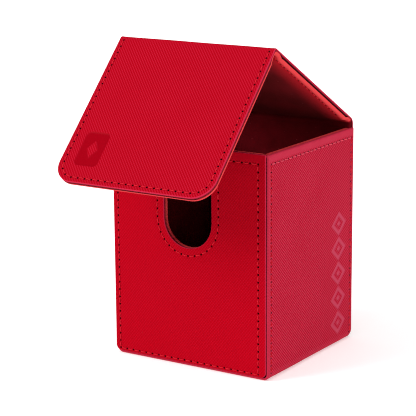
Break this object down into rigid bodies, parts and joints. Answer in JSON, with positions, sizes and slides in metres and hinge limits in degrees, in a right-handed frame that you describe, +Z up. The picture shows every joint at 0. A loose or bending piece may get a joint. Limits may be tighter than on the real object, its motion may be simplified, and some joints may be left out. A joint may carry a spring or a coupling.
{
  "type": "card deck box",
  "caption": "Hinged leatherette deck box for sleeved trading cards, with a fold-over lid, a front flap, a U-shaped thumb notch and a stitched edge.",
  "frame": {"origin": "centre of the case's underside, where the box stands", "axes": "+Z up, -Y out of the front with the thumb notch, +X to the right of someone facing the front"},
  "size_m": [0.0812, 0.1227, 0.1442],
  "materials": {
    "skin": "embossed twill leatherette, semi-gloss",
    "lining": "brushed microfibre",
    "board": "black-dyed greyboard",
    "thread": "waxed polyester thread",
    "magnet": "nickel plate"
  },
  "bodies": {
    "case": {"side_wrap_skin": "skin", "front_skin": "skin", "back_skin": "skin", "front_board": "board", "back_board": "board", "left_board": "board", "right_board": "board", "base_board": "board", "front_lining": "lining", "back_lining": "lining", "left_lining": "lining", "right_lining": "lining", "base_lining": "lining", "front_magnets": "magnet", "front_stitching": "thread", "left_stitching": "thread", "right_stitching": "thread", "back_stitching": "thread"},
    "lid": {"lid_skin": "skin", "lid_board": "board", "lid_lining": "lining", "lid_stitching": "thread", "back_hinge_skin": "skin", "back_hinge_lining": "lining"},
    "flap": {"flap_skin": "skin", "flap_board": "board", "flap_lining": "lining", "flap_stitching": "thread", "flap_magnets": "magnet", "ridge_hinge_skin": "skin", "ridge_hinge_lining": "lining"}
  },
  "joints": [
    {"name": "lid_hinge", "type": "hinge", "parent": "case", "child": "lid", "pos_m": [0, 0.0385, 0.1037], "axis": [-1, 0, 0], "range_deg": [-30.6, 229], "deforming": ["back_hinge_skin", "back_hinge_lining"]},
    {"name": "flap_hinge", "type": "hinge", "parent": "lid", "child": "flap", "pos_m": [0, -0.03109, 0.14486], "axis": [-1, 0, 0], "range_deg": [-13.3, 90], "deforming": ["ridge_hinge_skin", "ridge_hinge_lining"]}
  ]
}
